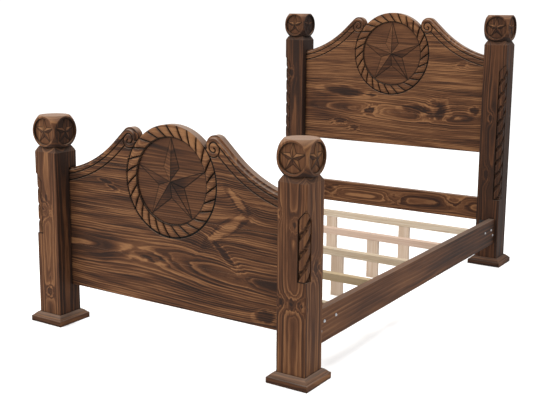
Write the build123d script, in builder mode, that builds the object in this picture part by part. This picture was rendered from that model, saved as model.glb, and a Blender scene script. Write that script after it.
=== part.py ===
from build123d import *
from math import acos, asin, atan2, cos, degrees, radians, sin, sqrt
import os

os.makedirs("parts", exist_ok=True)

# A rustic pine bed: four square posts with carved corner ropes, mitred plinths and star caps,
# two glued-up boards with a scrolled crest round a rope-and-star medallion, bolted side rails
# and loose pine slats on ledgers and legs.
# Millimetres. +X across the bed, +Y towards the head, +Z up; the origin is on the floor,
# in the middle of the bed.

# ---------------------------------------------------------------- driving dimensions
# bedstead
post_side = 140.0
post_centres = 1400.0          # across the bed, from post centre to post centre
rail_length = 2134.0           # between the foot and head posts
foot_post_height = 852.0       # to where the top starts to taper
head_post_height = 1342.0
fit_gap = 0.3                  # between a piece and the hole or groove that holds it
tool_lift = 1.0                # how far a cutting shape starts clear of the face it cuts

# post top and corner
taper_height = 26.0
taper_inset = 15.5
corner_round = 5.0
rope_width = 40.0              # width of the corner rope's panel on each face
rope_hollow = 12.0             # how deep the panel is cut below the post's faces
rope_inset = 1.0               # the rope lies this far below the post's faces
rope_crease = 1.8              # width of the crease round the rope
rope_corner = 15.0             # rounding of the rope on the post's corner
rope_edge = 7.0                # rounding of the rope along the crease
foot_rope_bottom = 448.0
foot_rope_top = 752.0
head_rope_bottom = 409.0
head_rope_top = 1232.0
rope_shoulder = 44.0           # how far the panel's sloping upper end falls from the corner
rope_pitch = 80.0              # height of one strand
strand_groove_width = 28.0
strand_groove_depth = 14.0

# plinth strips
plinth_width = 30.0
plinth_height = 47.0
plinth_edge = 25.0             # height of the upright outer face
plinth_quirk = 3.0             # small step at each end of the sloping top
plinth_sweep = 60.0            # radius of the sloping top

# star caps
cap_side = 150.0
cap_ball_radius = 104.0
cap_disc_radius = 64.0
cap_disc_depth = 10.0
cap_star_depth = 1.5           # the star's peak lies this far below the cap's face
dowel_radius = 16.0
dowel_length = 76.0

# carved boards
board_thickness = 48.0
board_tongue = 20.0            # length that is housed in each post
plank_count = 4
board_below_centre = 583.0     # from the medallion's centre down to the board's bottom edge
foot_board_bottom = 188.0
head_board_bottom = 687.0
foot_board_inset = 4.0         # from the post's mattress side to the board's back
head_board_inset = 40.0        # from the post's mattress side to the board's front

# medallion
ring_outer = 257.0
ring_width = 57.0
ring_sag = 6.0                 # how far the ring's rounded back falls at its edges
ring_border = 8.0              # width of the cut round the ring
field_depth = 13.0             # the sunk disc behind the star
star_peak_depth = 2.0
ring_strands = 27
ring_groove_width = 11.0
ring_groove_depth = 9.0
ring_lean = 40.0               # degrees between a strand's groove and the radius

# crest
scroll_bearing = 36.5          # degrees from level to the scroll, seen from the medallion
scroll_from_ring = 45.4        # scroll's centre past the ring's outer edge
scroll_radius = 48.0
crest_slope = 43.0             # degrees of the straight fall below the scroll
crest_fall_length = 94.7       # from the scroll to where the fall turns into the hollow
crest_hollow = 600.0           # radius of the hollow that runs to the post
bead_width = 28.0
band_width = 31.0
bead_round = 13.0
volute_radius = 23.0
eye_radius = 10.0
vein_width = 9.0
vein_depth = 7.0

# lower head rail
head_rail_bottom = 263.0
head_rail_height = 140.0
head_rail_thickness = 38.0
head_rail_tenon = 35.0
tenon_shoulder = 9.0

# side rails and ledgers
side_rail_bottom = 140.0
side_rail_height = 151.0
side_rail_thickness = 38.0
side_rail_inset = 21.0         # from the post's outer face to the rail's outer face
rail_edge_round = 3.0
batten = 38.0                  # square section of ledgers and slats
ledger_top = 222.0

# slats and their legs
slat_count = 5
slat_setback = 217.0           # from the posts to the middle of the nearest slat
slat_end_gap = 2.0
legless_slats = 1              # the slats at the foot end that stand on no legs
leg_across = 256.0
leg_width = 70.0
leg_thickness = 19.0
leg_screws_apart = 35.0

# steel rail brackets
bracket_thickness = 4.0
bracket_reach = 175.0          # along the rail
bracket_return = 60.0          # across the post
bracket_bottom = 180.0
bracket_height = 96.0
bolt_radius = 4.0
bolt_head_radius = 7.5
bolt_head_height = 4.0
bolt_head_taper = 35.0
nut_across_flats = 13.0
nut_height = 6.5
bolt_end = 3.0                 # thread that stands past the nut
bolt_places = [(155.0, 234.0), (55.0, 234.0), (25.0, 197.0)]   # from the post, above the floor
lag_radius = 4.0
lag_length = 60.0
lag_head_height = 5.0
lag_inset = 38.0               # from the rail's inner face
lag_levels = [202.0, 254.0]
screw_radius = 2.5
screw_head_radius = 5.0
screw_head_height = 3.0
screw_point = 6.0
screw_tip_radius = 0.4
screw_length = 65.0
screw_clearance = 0.1

# ---------------------------------------------------------------- places worked out from them
half = post_side / 2
post_x = post_centres / 2
post_y = rail_length / 2 + half
inner_x = post_x - half
ring_inner = ring_outer - ring_width
slat_spacing = (rail_length - 2 * slat_setback) / (slat_count - 1)
rail_outer_x = post_x + half - side_rail_inset
rail_inner_x = rail_outer_x - side_rail_thickness
foot_board_front = -rail_length / 2 - foot_board_inset - board_thickness
head_board_front = rail_length / 2 + head_board_inset
board_half = inner_x + board_tongue
side_sign = {"left": -1, "right": 1}
end_sign = {"foot": -1, "head": 1}
post_height = {"foot": foot_post_height, "head": head_post_height}
rope_span = {"foot": (foot_rope_bottom, foot_rope_top), "head": (head_rope_bottom, head_rope_top)}
board_front = {"foot": foot_board_front, "head": head_board_front}
board_bottom = {"foot": foot_board_bottom, "head": head_board_bottom}


# ---------------------------------------------------------------- crest geometry
# Everything here is in the board's own plane: x across, y up, from the medallion's centre.
fall = radians(crest_slope)
fall_normal = Vector(sin(fall), cos(fall))            # square to the straight fall
bearing = radians(scroll_bearing)
scroll_centre = Vector(cos(bearing), sin(bearing)) * (ring_outer + scroll_from_ring)
fall_start = scroll_centre + fall_normal * scroll_radius
fall_end = fall_start + Vector(cos(fall), -sin(fall)) * crest_fall_length
hollow_centre = fall_end + fall_normal * crest_hollow
fall_angle = 90 - crest_slope


def hollow_height(x, inset=0.0):
    """Height of the crest's hollow at x, or of a line that runs inset below it."""
    radius = crest_hollow + inset
    return hollow_centre.Y - sqrt(radius ** 2 - (hollow_centre.X - x) ** 2)


def ring_meets_scroll(upper):
    """Angle at the scroll's centre, in degrees, where the ring's outer circle crosses it."""
    distance = scroll_centre.length
    inward = degrees(atan2(-scroll_centre.Y, -scroll_centre.X))
    cosine = (scroll_radius ** 2 + distance ** 2 - ring_outer ** 2) / (2 * scroll_radius * distance)
    spread = degrees(acos(cosine))
    return inward - spread if upper else inward + spread


def crest_line(inset, stop=None):
    """The hollow and the fall, inset below the board's edge, from the post to the scroll."""
    start = Vector(board_half, hollow_height(board_half, inset))
    turn = fall_end - fall_normal * inset
    angle = degrees(asin((hollow_centre.X - board_half) / (crest_hollow + inset)))
    CenterArc(hollow_centre, crest_hollow + inset, 270 - angle, angle - crest_slope)
    Line(turn, stop if stop else fall_start - fall_normal * inset)
    return start


# the volute: half circles on one upright line, each smaller than the last
volute_drop = (bead_width + volute_radius - scroll_radius) / cos(fall)
volute_centre = scroll_centre - Vector(0, volute_drop)
eye_centre = volute_centre - Vector(0, volute_radius - eye_radius)
under_radius = (scroll_radius - bead_width + scroll_radius * cos(fall)) / (1 + cos(fall))
under_centre = scroll_centre - Vector(0, scroll_radius - under_radius)


# The board is worked flat on the bench: x across, y up, z out of its carved face, with the
# medallion's centre at the origin. Both ends of the bed have the same board.
bench = Plane.XY


def profile_on(path):
    """A plane square to the path's start: x out of the board's face, y out past its edge."""
    return Plane(origin=path @ 0, x_dir=bench.z_dir, z_dir=path % 0)


def vein(path):
    """A V-shaped carver's line along a path in the board's face."""
    wide = vein_width / 2 * (vein_depth + tool_lift) / vein_depth
    with BuildPart() as cut:
        with BuildSketch(profile_on(path)):
            with BuildLine():
                Polyline((tool_lift, -wide), (tool_lift, wide), (-vein_depth, 0), close=True)
            make_face()
        sweep(path=path)
    return cut.part


def bead_cut(path):
    """What a rounding plane takes off the board's front edge along the crest."""
    with BuildPart() as cut:
        with BuildSketch(profile_on(path)):
            with BuildLine():
                RadiusArc((0, -bead_round), (-bead_round, 0), bead_round)
                Polyline(
                    (-bead_round, 0),
                    (-bead_round, tool_lift),
                    (tool_lift, tool_lift),
                    (tool_lift, -bead_round),
                    (0, -bead_round),
                )
            make_face()
        sweep(path=path)
    return cut.part


def rope_strand_cut():
    """One slanted V across the top of the rope ring, ready to be turned about the medallion."""
    lean = radians(ring_lean)
    along = Vector(-sin(lean), cos(lean))
    reach = (ring_outer - ring_inner) / cos(lean) + ring_border
    start = Vector(0, (ring_outer + ring_inner) / 2) - along * (reach / 2)
    wide = ring_groove_width / 2 * (ring_groove_depth + tool_lift) / ring_groove_depth
    with BuildPart() as cut:
        with BuildSketch(Plane(origin=start, x_dir=bench.z_dir, z_dir=along)):
            with BuildLine():
                Polyline((tool_lift, -wide), (tool_lift, wide), (-ring_groove_depth, 0), close=True)
            make_face()
        extrude(amount=reach)
    return cut.part


def star(face, reach, peak_depth, floor_depth):
    """A raised five-pointed star whose ten facets meet in a peak at its middle."""
    inner = reach * sin(radians(18)) / sin(radians(54))
    corners = [
        Vector(reach if step % 2 == 0 else inner, 0).rotate(Axis.Z, 90 + 36 * step)
        for step in range(10)
    ]
    with BuildPart() as solid:
        with BuildSketch(face.offset(-floor_depth)) as outline:
            with BuildLine():
                Polyline(*corners, close=True)
            make_face()
        peak = Vertex(*face.from_local_coords(Vector(0, 0, -peak_depth)))
        loft(sections=[outline.sketch.face(), peak])
    return solid.part


def carved_board():
    """The glued-up board with its crest, volutes, rope ring and star, before it is cut to planks."""
    upper = ring_meets_scroll(upper=True)
    lower = ring_meets_scroll(upper=False)
    over_scroll = upper % 360 - fall_angle
    crossing = scroll_centre + Vector(cos(radians(upper)), sin(radians(upper))) * scroll_radius
    crossing_angle = degrees(atan2(crossing.Y, crossing.X))

    with BuildPart() as board:
        with BuildSketch():
            with BuildLine():
                corner = crest_line(0)
                Line(corner, (board_half, -board_below_centre))
                Line((board_half, -board_below_centre), (0, -board_below_centre))
                CenterArc(scroll_centre, scroll_radius, fall_angle, over_scroll)
                CenterArc((0, 0), ring_outer, crossing_angle, 90 - crossing_angle)
                mirror(about=Plane.YZ)
            make_face()
        extrude(amount=-board_thickness)

        # the rope ring: a rounded back between two falling edges, then the sunk disc
        with BuildSketch(Plane.XZ):
            with BuildLine():
                crown = ((ring_outer + ring_inner) / 2, 0)
                ThreePointArc((ring_inner, -ring_sag), crown, (ring_outer, -ring_sag))
                Polyline(
                    (ring_outer, -ring_sag),
                    (ring_outer + ring_border, tool_lift),
                    (ring_inner, tool_lift),
                    (ring_inner, -ring_sag),
                )
            make_face()
        revolve(axis=Axis.Z, mode=Mode.SUBTRACT)
        with BuildSketch():
            Circle(ring_inner)
        extrude(amount=-field_depth, mode=Mode.SUBTRACT)
        add(star(bench, ring_inner, star_peak_depth, field_depth))

    strand = rope_strand_cut()
    strands = [strand.rotate(Axis.Z, 360 / ring_strands * step) for step in range(ring_strands)]

    # the carver's lines on the crest's right side, then mirrored
    with BuildLine() as bead_vein:
        crest_line(bead_width, volute_centre + fall_normal * volute_radius)
        CenterArc(volute_centre, volute_radius, fall_angle, 270 - fall_angle)
        CenterArc(eye_centre, eye_radius, 270, 180)
    with BuildLine() as band_vein:
        band_stop = under_centre + Vector(cos(fall), -sin(fall)) * under_radius
        crest_line(bead_width + band_width, band_stop)
    with BuildLine() as scroll_vein:
        CenterArc(scroll_centre, scroll_radius, lower % 360, 270 - lower % 360)
        CenterArc(under_centre, under_radius, 270, 90 + fall_angle)
    with BuildLine() as bead_edge:
        crest_line(0)
        CenterArc(scroll_centre, scroll_radius, fall_angle, over_scroll)
    cuts = [vein(line.wire()) for line in (bead_vein, band_vein, scroll_vein)]
    cuts.append(bead_cut(bead_edge.wire()))
    cuts += [mirror(cut, about=Plane.YZ) for cut in cuts]

    with BuildPart() as carved:
        add(board.part)
        add(strands, mode=Mode.SUBTRACT)
        add(cuts, mode=Mode.SUBTRACT)
    return carved.part


def planks(board, end):
    """The board is glued up from planks with their joints level, so it is cut at each joint."""
    centre_height = board_bottom[end] + board_below_centre
    upright = Plane(
        origin=(0, board_front[end], centre_height), x_dir=(1, 0, 0), z_dir=(0, -1, 0)
    )
    standing = upright.location * board
    plank_width = (board_below_centre + ring_outer) / plank_count
    for number in range(1, plank_count + 1):
        with BuildPart() as plank:
            with BuildSketch(Plane.XY.offset(board_bottom[end] + (number - 1) * plank_width)):
                with Locations((0, board_front[end] + board_thickness / 2)):
                    Rectangle(2 * (board_half + tool_lift), board_thickness + 2 * tool_lift)
            extrude(amount=plank_width)
            add(standing, mode=Mode.INTERSECT)
        plank.part.label = f"{end}board_plank_{number}"
        export_step(plank.part, f"parts/{plank.part.label}.step")


# ---------------------------------------------------------------- posts
def panel_block(corner, outward, low, high):
    """A block on the post's corner between level low and a top that slopes up to high there."""
    upward = Vector(0, 0, 1)
    inward_reach = rope_width * sqrt(2)
    slope = rope_shoulder / (rope_width / sqrt(2))
    with BuildPart() as block:
        with BuildSketch(Plane(origin=corner, x_dir=outward, z_dir=outward.cross(upward))):
            with BuildLine():
                Polyline(
                    (-inward_reach, low),
                    (-inward_reach, high - slope * inward_reach),
                    (rope_crease, high + slope * rope_crease),
                    (rope_crease, low),
                    close=True,
                )
            make_face()
        extrude(amount=inward_reach, both=True)
    return block.part


def strand_groove(place, face_normal, direction):
    """A straight V across one face of the corner rope, from place along direction."""
    wide = strand_groove_width / 2 * (strand_groove_depth + tool_lift) / strand_groove_depth
    run_in = strand_groove_width          # the cut starts in the air, past the post's corner
    length = run_in + 2 * rope_width / direction.cross(Vector(0, 0, 1)).length
    start = place - direction * run_in
    with BuildPart() as cut:
        with BuildSketch(Plane(origin=start, x_dir=face_normal, z_dir=direction)):
            with BuildLine():
                Polyline((tool_lift, -wide), (tool_lift, wide), (-strand_groove_depth, 0), close=True)
            make_face()
        extrude(amount=length)
    return cut.part


def corner_rope(end, side):
    """The panel cut in a post's corner, and the rope that is left standing in it."""
    sx = side_sign[side]
    bottom, top = rope_span[end]
    corner = Vector(sx * (post_x + half), end_sign[end] * post_y - half)
    outward = Vector(sx, -1).normalized()
    inward = Vector(-sx, 0)
    # x runs in along the front face and y along the outer face
    corner_plane = Plane(origin=corner + Vector(0, 0, bottom), x_dir=inward, z_dir=(0, 0, -sx))
    low_corner = (Align.MIN, Align.MIN)

    with BuildPart() as hollow:
        with BuildSketch(corner_plane):
            Rectangle(rope_width, rope_width, align=low_corner)
            with Locations((rope_hollow, rope_hollow)):
                Rectangle(rope_width, rope_width, align=low_corner, mode=Mode.SUBTRACT)
        extrude(amount=-sx * (top - bottom))
        add(panel_block(corner, outward, bottom, top), mode=Mode.INTERSECT)

    climb = atan2(rope_shoulder, rope_width)
    down_front = inward * cos(climb) - Vector(0, 0, sin(climb))
    up_side = Vector(0, cos(climb), sin(climb))
    rope_side = rope_width - rope_inset - rope_crease
    with BuildPart() as rope:
        with BuildSketch(corner_plane):
            with Locations((rope_inset, rope_inset)):
                Rectangle(rope_side, rope_side, align=low_corner)
        extrude(amount=-sx * (top - bottom))
        upright_edges = rope.edges().filter_by(Axis.Z)
        by_outward = sorted(upright_edges, key=lambda edge: (edge.center() - corner).dot(outward))
        fillet(by_outward[-1], radius=rope_corner)
        upright_edges = rope.edges().filter_by(Axis.Z)
        crease_reach = (rope_side + 2 * rope_inset) / sqrt(2)
        beside_crease = [
            edge
            for edge in upright_edges
            if abs((edge.center() - corner).dot(outward) + crease_reach) < rope_inset
        ]
        fillet(beside_crease, radius=rope_edge)
        lower = bottom + rope_crease
        upper = top - 2 * rope_crease
        add(panel_block(corner, outward, lower, upper), mode=Mode.INTERSECT)
        height = top - rope_pitch
        while height + rope_shoulder > bottom:
            front = corner + Vector(0, rope_inset, height)
            outer = corner + Vector(-sx * rope_inset, 0, height)
            add(strand_groove(front, Vector(0, -1, 0), down_front), mode=Mode.SUBTRACT)
            add(strand_groove(outer, Vector(sx, 0, 0), up_side), mode=Mode.SUBTRACT)
            height -= rope_pitch
    return hollow.part, rope.part


def post(end, side):
    sx = side_sign[side]
    sy = end_sign[end]
    height = post_height[end]
    centre = Vector(sx * post_x, sy * post_y)
    mattress_face_y = sy * rail_length / 2
    hollow, rope = corner_rope(end, side)

    with BuildPart() as timber:
        with BuildSketch(Plane(origin=centre)):
            RectangleRounded(post_side, post_side, corner_round)
        extrude(amount=height)
        with BuildSketch(Plane(origin=centre + Vector(0, 0, height))):
            RectangleRounded(post_side, post_side, corner_round)
        extrude(amount=taper_height, taper=degrees(atan2(taper_inset, taper_height)))
        add(hollow, mode=Mode.SUBTRACT)
        add(rope)

        # dowel for the cap
        with Locations(centre + Vector(0, 0, height + taper_height)):
            Hole(dowel_radius + fit_gap, depth=dowel_length / 2 + fit_gap)

        # housing for the board's tongues
        board_middle = board_front[end] + board_thickness / 2
        shoulder = board_bottom[end] + board_below_centre + hollow_height(inner_x)
        with BuildSketch(Plane.XY.offset(board_bottom[end])):
            with Locations((sx * inner_x, board_middle)):
                Rectangle(2 * (board_tongue + fit_gap), board_thickness + 2 * fit_gap)
        extrude(amount=shoulder + fit_gap - board_bottom[end], mode=Mode.SUBTRACT)

        # mortise for the lower head rail
        if end == "head":
            with BuildSketch(Plane.XY.offset(head_rail_bottom + tenon_shoulder - fit_gap)):
                with Locations((sx * inner_x, board_middle)):
                    Rectangle(
                        2 * (head_rail_tenon + fit_gap),
                        head_rail_thickness - 2 * tenon_shoulder + 2 * fit_gap,
                    )
            extrude(
                amount=head_rail_height - 2 * tenon_shoulder + 2 * fit_gap,
                mode=Mode.SUBTRACT,
            )

        # pilot holes for the bracket's lag screws
        lag_face = Plane(
            origin=(sx * (rail_inner_x - lag_inset), mattress_face_y, 0),
            x_dir=(1, 0, 0),
            z_dir=(0, -sy, 0),
        )
        with BuildSketch(lag_face):
            with Locations(*[(0, level * lag_face.y_dir.Z) for level in lag_levels]):
                Circle(lag_radius + screw_clearance)
        extrude(amount=-(lag_length - bracket_thickness + fit_gap), mode=Mode.SUBTRACT)

    timber.part.label = f"{end}_post_{side}"
    export_step(timber.part, f"parts/{timber.part.label}.step")


# ---------------------------------------------------------------- caps and dowels
def cap(end, side):
    seat = post_height[end] + taper_height
    centre = Vector(side_sign[side] * post_x, end_sign[end] * post_y, seat + cap_side / 2)
    with BuildPart() as block:
        with BuildSketch(Plane(origin=centre - Vector(0, 0, cap_side / 2))):
            Rectangle(cap_side, cap_side)
        extrude(amount=cap_side)
        with Locations(centre):
            Sphere(cap_ball_radius, mode=Mode.INTERSECT)
        for quarter in range(4):
            outward = Vector(1, 0).rotate(Axis.Z, 90 * quarter)
            across = Vector(0, 1).rotate(Axis.Z, 90 * quarter)
            face = Plane(origin=centre + outward * (cap_side / 2), x_dir=across, z_dir=outward)
            with BuildSketch(face):
                Circle(cap_disc_radius)
            extrude(amount=-cap_disc_depth, mode=Mode.SUBTRACT)
            add(star(face, cap_disc_radius, cap_star_depth, cap_disc_depth))
        with BuildSketch(Plane(origin=(centre.X, centre.Y, seat))):
            Circle(dowel_radius + fit_gap)
        extrude(amount=dowel_length / 2 + fit_gap, mode=Mode.SUBTRACT)
    block.part.label = f"{end}_cap_{side}"
    export_step(block.part, f"parts/{block.part.label}.step")


def cap_dowels():
    with BuildPart() as dowels:
        for end in end_sign:
            seat = post_height[end] + taper_height
            for side in side_sign:
                place = (side_sign[side] * post_x, end_sign[end] * post_y, seat - dowel_length / 2)
                with BuildSketch(Plane(origin=place)):
                    Circle(dowel_radius)
                extrude(amount=dowel_length)
    dowels.part.label = "cap_dowels"
    export_step(dowels.part, f"parts/{dowels.part.label}.step")


# ---------------------------------------------------------------- plinths
def plinth_strip(end, side, facing, angle):
    """One of the four mitred strips round a post's foot; it is made facing +X and turned."""
    centre = Vector(side_sign[side] * post_x, end_sign[end] * post_y)
    reach = half + plinth_width
    outward = Vector(1, 0).rotate(Axis.Z, angle)
    across = Vector(0, 1).rotate(Axis.Z, angle)
    profile_plane = Plane(origin=centre + outward * half, x_dir=outward, z_dir=-across)
    with BuildPart() as strip:
        with BuildSketch(profile_plane):
            with BuildLine():
                slope_foot = (plinth_width - 2 * plinth_quirk, plinth_edge + plinth_quirk)
                slope_top = (plinth_quirk, plinth_height)
                Polyline(
                    slope_top,
                    (0, plinth_height),
                    (0, 0),
                    (plinth_width, 0),
                    (plinth_width, plinth_edge),
                    (plinth_width - plinth_quirk, plinth_edge + plinth_quirk),
                    slope_foot,
                )
                RadiusArc(slope_foot, slope_top, -plinth_sweep)
            make_face()
        extrude(amount=reach, both=True)
        for turn in (45, -45):
            mitre = Plane(origin=centre, z_dir=across.rotate(Axis.Z, turn))
            split(bisect_by=mitre, keep=Keep.BOTTOM if turn == 45 else Keep.TOP)
    strip.part.label = f"{end}_plinth_{side}_{facing}"
    export_step(strip.part, f"parts/{strip.part.label}.step")


# ---------------------------------------------------------------- rails and ledgers
def head_rail():
    middle_y = head_board_front + board_thickness / 2
    with BuildPart() as rail:
        with BuildSketch(Plane.XY.offset(head_rail_bottom)):
            with Locations((0, middle_y)):
                Rectangle(2 * inner_x, head_rail_thickness)
        extrude(amount=head_rail_height)
        long_edges = rail.edges().filter_by(Axis.X)
        fillet(long_edges, radius=rail_edge_round)
        with BuildSketch(Plane.XY.offset(head_rail_bottom + tenon_shoulder)):
            with Locations((0, middle_y)):
                Rectangle(2 * (inner_x + head_rail_tenon), head_rail_thickness - 2 * tenon_shoulder)
        extrude(amount=head_rail_height - 2 * tenon_shoulder)
    rail.part.label = "lower_head_rail"
    export_step(rail.part, f"parts/{rail.part.label}.step")


def bolt_points():
    """Every through bolt's place along the rails: y and height."""
    return [
        (sy * (rail_length / 2 - from_post), level)
        for sy in end_sign.values()
        for from_post, level in bolt_places
    ]


def side_rail(side):
    sx = side_sign[side]
    outer = Plane(origin=(sx * rail_outer_x, 0, 0), x_dir=(0, 1, 0), z_dir=(1, 0, 0))
    inward = -sx * side_rail_thickness
    with BuildPart() as rail:
        with BuildSketch(outer):
            with Locations((0, side_rail_bottom + side_rail_height / 2)):
                Rectangle(rail_length, side_rail_height)
        extrude(amount=inward)
        fillet(rail.edges().filter_by(Axis.Y), radius=rail_edge_round)
        with BuildSketch(outer):
            with Locations(*bolt_points()):
                Circle(bolt_radius + screw_clearance)
        extrude(amount=inward, mode=Mode.SUBTRACT)
        for place in ledger_screws(side):
            add(screw(place, sx, screw_clearance), mode=Mode.SUBTRACT)
    rail.part.label = f"side_rail_{side}"
    export_step(rail.part, f"parts/{rail.part.label}.step")


def ledger_length():
    """The ledgers fill the rail's inner face between its two brackets."""
    return rail_length - 2 * (bracket_reach + screw_head_radius)


def ledger(side):
    sx = side_sign[side]
    with BuildPart() as strip:
        with BuildSketch(Plane.XY.offset(ledger_top - batten)):
            with Locations((sx * (rail_inner_x - batten / 2), 0)):
                Rectangle(batten, ledger_length())
        extrude(amount=batten)
        for place in ledger_screws(side):
            add(screw(place, sx, screw_clearance), mode=Mode.SUBTRACT)
        for place in slat_screws(side):
            add(screw(place, 0, screw_clearance), mode=Mode.SUBTRACT)
    strip.part.label = f"slat_ledger_{side}"
    export_step(strip.part, f"parts/{strip.part.label}.step")


# ---------------------------------------------------------------- slats and legs
def slat_places():
    return [slat_spacing * (step - (slat_count - 1) / 2) for step in range(slat_count)]


def leg_places():
    """The slats that stand on legs."""
    return slat_places()[legless_slats:]


def slat(number, y):
    half_length = rail_inner_x - slat_end_gap
    with BuildPart() as bar:
        with BuildSketch(Plane.XY.offset(ledger_top)):
            with Locations((0, y)):
                Rectangle(2 * half_length, batten)
        extrude(amount=batten)
        fillet(bar.edges().filter_by(Axis.X), radius=rail_edge_round)
        for side in side_sign:
            for place in slat_screws(side) + leg_screws(side):
                if abs(place.Y - y) < batten:
                    add(screw(place, 0, screw_clearance), mode=Mode.SUBTRACT)
    bar.part.label = f"slat_{number}"
    export_step(bar.part, f"parts/{bar.part.label}.step")


def slat_leg(number, y, side):
    """A leg stands on the floor under its slat, its face level with the slat's foot side."""
    with BuildPart() as leg:
        with BuildSketch():
            with Locations((side_sign[side] * leg_across, y - batten / 2 + leg_thickness / 2)):
                Rectangle(leg_width, leg_thickness)
        extrude(amount=ledger_top)
        for place in leg_screws(side):
            if abs(place.Y - y) < batten:
                add(screw(place, 0, screw_clearance), mode=Mode.SUBTRACT)
    leg.part.label = f"slat_leg_{number}_{side}"
    export_step(leg.part, f"parts/{leg.part.label}.step")


# ---------------------------------------------------------------- fasteners
def screw(place, sx, clearance=0.0):
    """A countersunk wood screw with its head at place; it runs along sx, or down when sx is 0."""
    direction = Vector(sx, 0, 0) if sx else Vector(0, 0, -1)
    sideways = Vector(0, 1, 0)
    head = screw_head_radius + clearance
    shank = screw_radius + clearance
    point = clearance
    with BuildPart() as turned:
        with BuildSketch(Plane(origin=place, x_dir=sideways, z_dir=sideways.cross(direction))):
            with BuildLine():
                Polyline(
                    (0, 0),
                    (head, 0),
                    (shank, screw_head_height),
                    (shank, screw_length - screw_point),
                    (screw_tip_radius + point, screw_length + point),
                    (0, screw_length + point),
                    close=True,
                )
            make_face()
        revolve(axis=Axis(place, direction))
    return turned.part


def ledger_screws(side):
    """Screws through the ledger into the rail, midway between the slats."""
    x = side_sign[side] * (rail_inner_x - batten)
    z = ledger_top - batten / 2
    return [Vector(x, y + slat_spacing / 2, z) for y in slat_places()[:-1]]


def slat_screws(side):
    """Screws down through each slat's end into the ledger."""
    x = side_sign[side] * (rail_inner_x - batten / 2)
    return [Vector(x, y, ledger_top + batten) for y in slat_places()]


def leg_screws(side):
    """Screws down through the slat into the top of its leg, two to a leg."""
    x = side_sign[side] * leg_across
    drop = batten / 2 - leg_thickness / 2
    return [
        Vector(x + apart, y - drop, ledger_top + batten)
        for y in leg_places()
        for apart in (-leg_screws_apart / 2, leg_screws_apart / 2)
    ]


def wood_screws():
    with BuildPart() as screws:
        for side, sx in side_sign.items():
            for place in ledger_screws(side):
                add(screw(place, sx))
            for place in slat_screws(side) + leg_screws(side):
                add(screw(place, 0))
    screws.part.label = "wood_screws"
    export_step(screws.part, f"parts/{screws.part.label}.step")


def rail_bolts():
    """Round-headed bolts through the rail and its bracket, each with its nut."""
    with BuildPart() as bolts:
        for sx in side_sign.values():
            for y, z in bolt_points():
                outer = Plane(
                    origin=(sx * rail_outer_x, y, z),
                    x_dir=(0, 1, 0),
                    z_dir=(sx, 0, 0),
                )
                grip = side_rail_thickness + bracket_thickness
                with BuildSketch(outer):
                    Circle(bolt_head_radius)
                extrude(amount=bolt_head_height, taper=bolt_head_taper)
                with BuildSketch(outer):
                    Circle(bolt_radius)
                extrude(amount=-(grip + nut_height + bolt_end))
        for sx in side_sign.values():
            for y, z in bolt_points():
                inner = Plane(
                    origin=(sx * (rail_inner_x - bracket_thickness), y, z),
                    x_dir=(0, 1, 0),
                    z_dir=(-sx, 0, 0),
                )
                with BuildSketch(inner):
                    RegularPolygon(nut_across_flats / 2, 6, major_radius=False)
                    Circle(bolt_radius + screw_clearance, mode=Mode.SUBTRACT)
                extrude(amount=nut_height)
    bolts.part.label = "rail_bolts"
    export_step(bolts.part, f"parts/{bolts.part.label}.step")


def lag_screws():
    with BuildPart() as lags:
        for sx in side_sign.values():
            for sy in end_sign.values():
                for level in lag_levels:
                    face = Plane(
                        origin=(
                            sx * (rail_inner_x - lag_inset),
                            sy * (rail_length / 2 - bracket_thickness),
                            level,
                        ),
                        x_dir=(1, 0, 0),
                        z_dir=(0, -sy, 0),
                    )
                    with BuildSketch(face):
                        RegularPolygon(nut_across_flats / 2, 6, major_radius=False)
                    extrude(amount=lag_head_height)
                    with BuildSketch(face):
                        Circle(lag_radius)
                    extrude(amount=-lag_length)
    lags.part.label = "bracket_lag_screws"
    export_step(lags.part, f"parts/{lags.part.label}.step")


def bracket(end, side):
    """A steel angle in the corner between the rail's inner face and the post."""
    sx = side_sign[side]
    sy = end_sign[end]
    corner = Vector(sx * rail_inner_x, sy * rail_length / 2)
    leg_in = Vector(-sx * bracket_thickness, 0)
    leg_back = Vector(0, -sy * bracket_thickness)
    reach = Vector(0, -sy * bracket_reach)
    back = Vector(-sx * bracket_return, 0)
    with BuildPart() as angle:
        with BuildSketch(Plane.XY.offset(bracket_bottom)):
            with BuildLine():
                Polyline(
                    corner,
                    corner + reach,
                    corner + reach + leg_in,
                    corner + leg_in + leg_back,
                    corner + back + leg_back,
                    corner + back,
                    close=True,
                )
            make_face()
        extrude(amount=bracket_height)
        rail_face = Plane(origin=(sx * rail_inner_x, 0, 0), x_dir=(0, 1, 0), z_dir=(1, 0, 0))
        with BuildSketch(rail_face):
            with Locations(*[point for point in bolt_points() if point[0] * sy > 0]):
                Circle(bolt_radius + screw_clearance)
        extrude(amount=2 * bracket_thickness, both=True, mode=Mode.SUBTRACT)
        post_face = Plane(
            origin=(sx * (rail_inner_x - lag_inset), sy * rail_length / 2, 0),
            x_dir=(1, 0, 0),
            z_dir=(0, -1, 0),
        )
        with BuildSketch(post_face):
            with Locations(*[(0, level) for level in lag_levels]):
                Circle(lag_radius + screw_clearance)
        extrude(amount=2 * bracket_thickness, both=True, mode=Mode.SUBTRACT)
    angle.part.label = f"rail_bracket_{end}_{side}"
    export_step(angle.part, f"parts/{angle.part.label}.step")


# ---------------------------------------------------------------- the bed
facings = {"right": 0, "head": 90, "left": 180, "foot": 270}

board = carved_board()
for end in end_sign:
    planks(board, end)
    for side in side_sign:
        post(end, side)
        cap(end, side)
        bracket(end, side)
        for facing, angle in facings.items():
            plinth_strip(end, side, f"{facing}_strip", angle)

head_rail()
cap_dowels()
for side in side_sign:
    side_rail(side)
    ledger(side)
for number, y in enumerate(slat_places(), start=1):
    slat(number, y)
    if y in leg_places():
        for side in side_sign:
            slat_leg(number, y, side)
rail_bolts()
lag_screws()
wood_screws()
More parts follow.
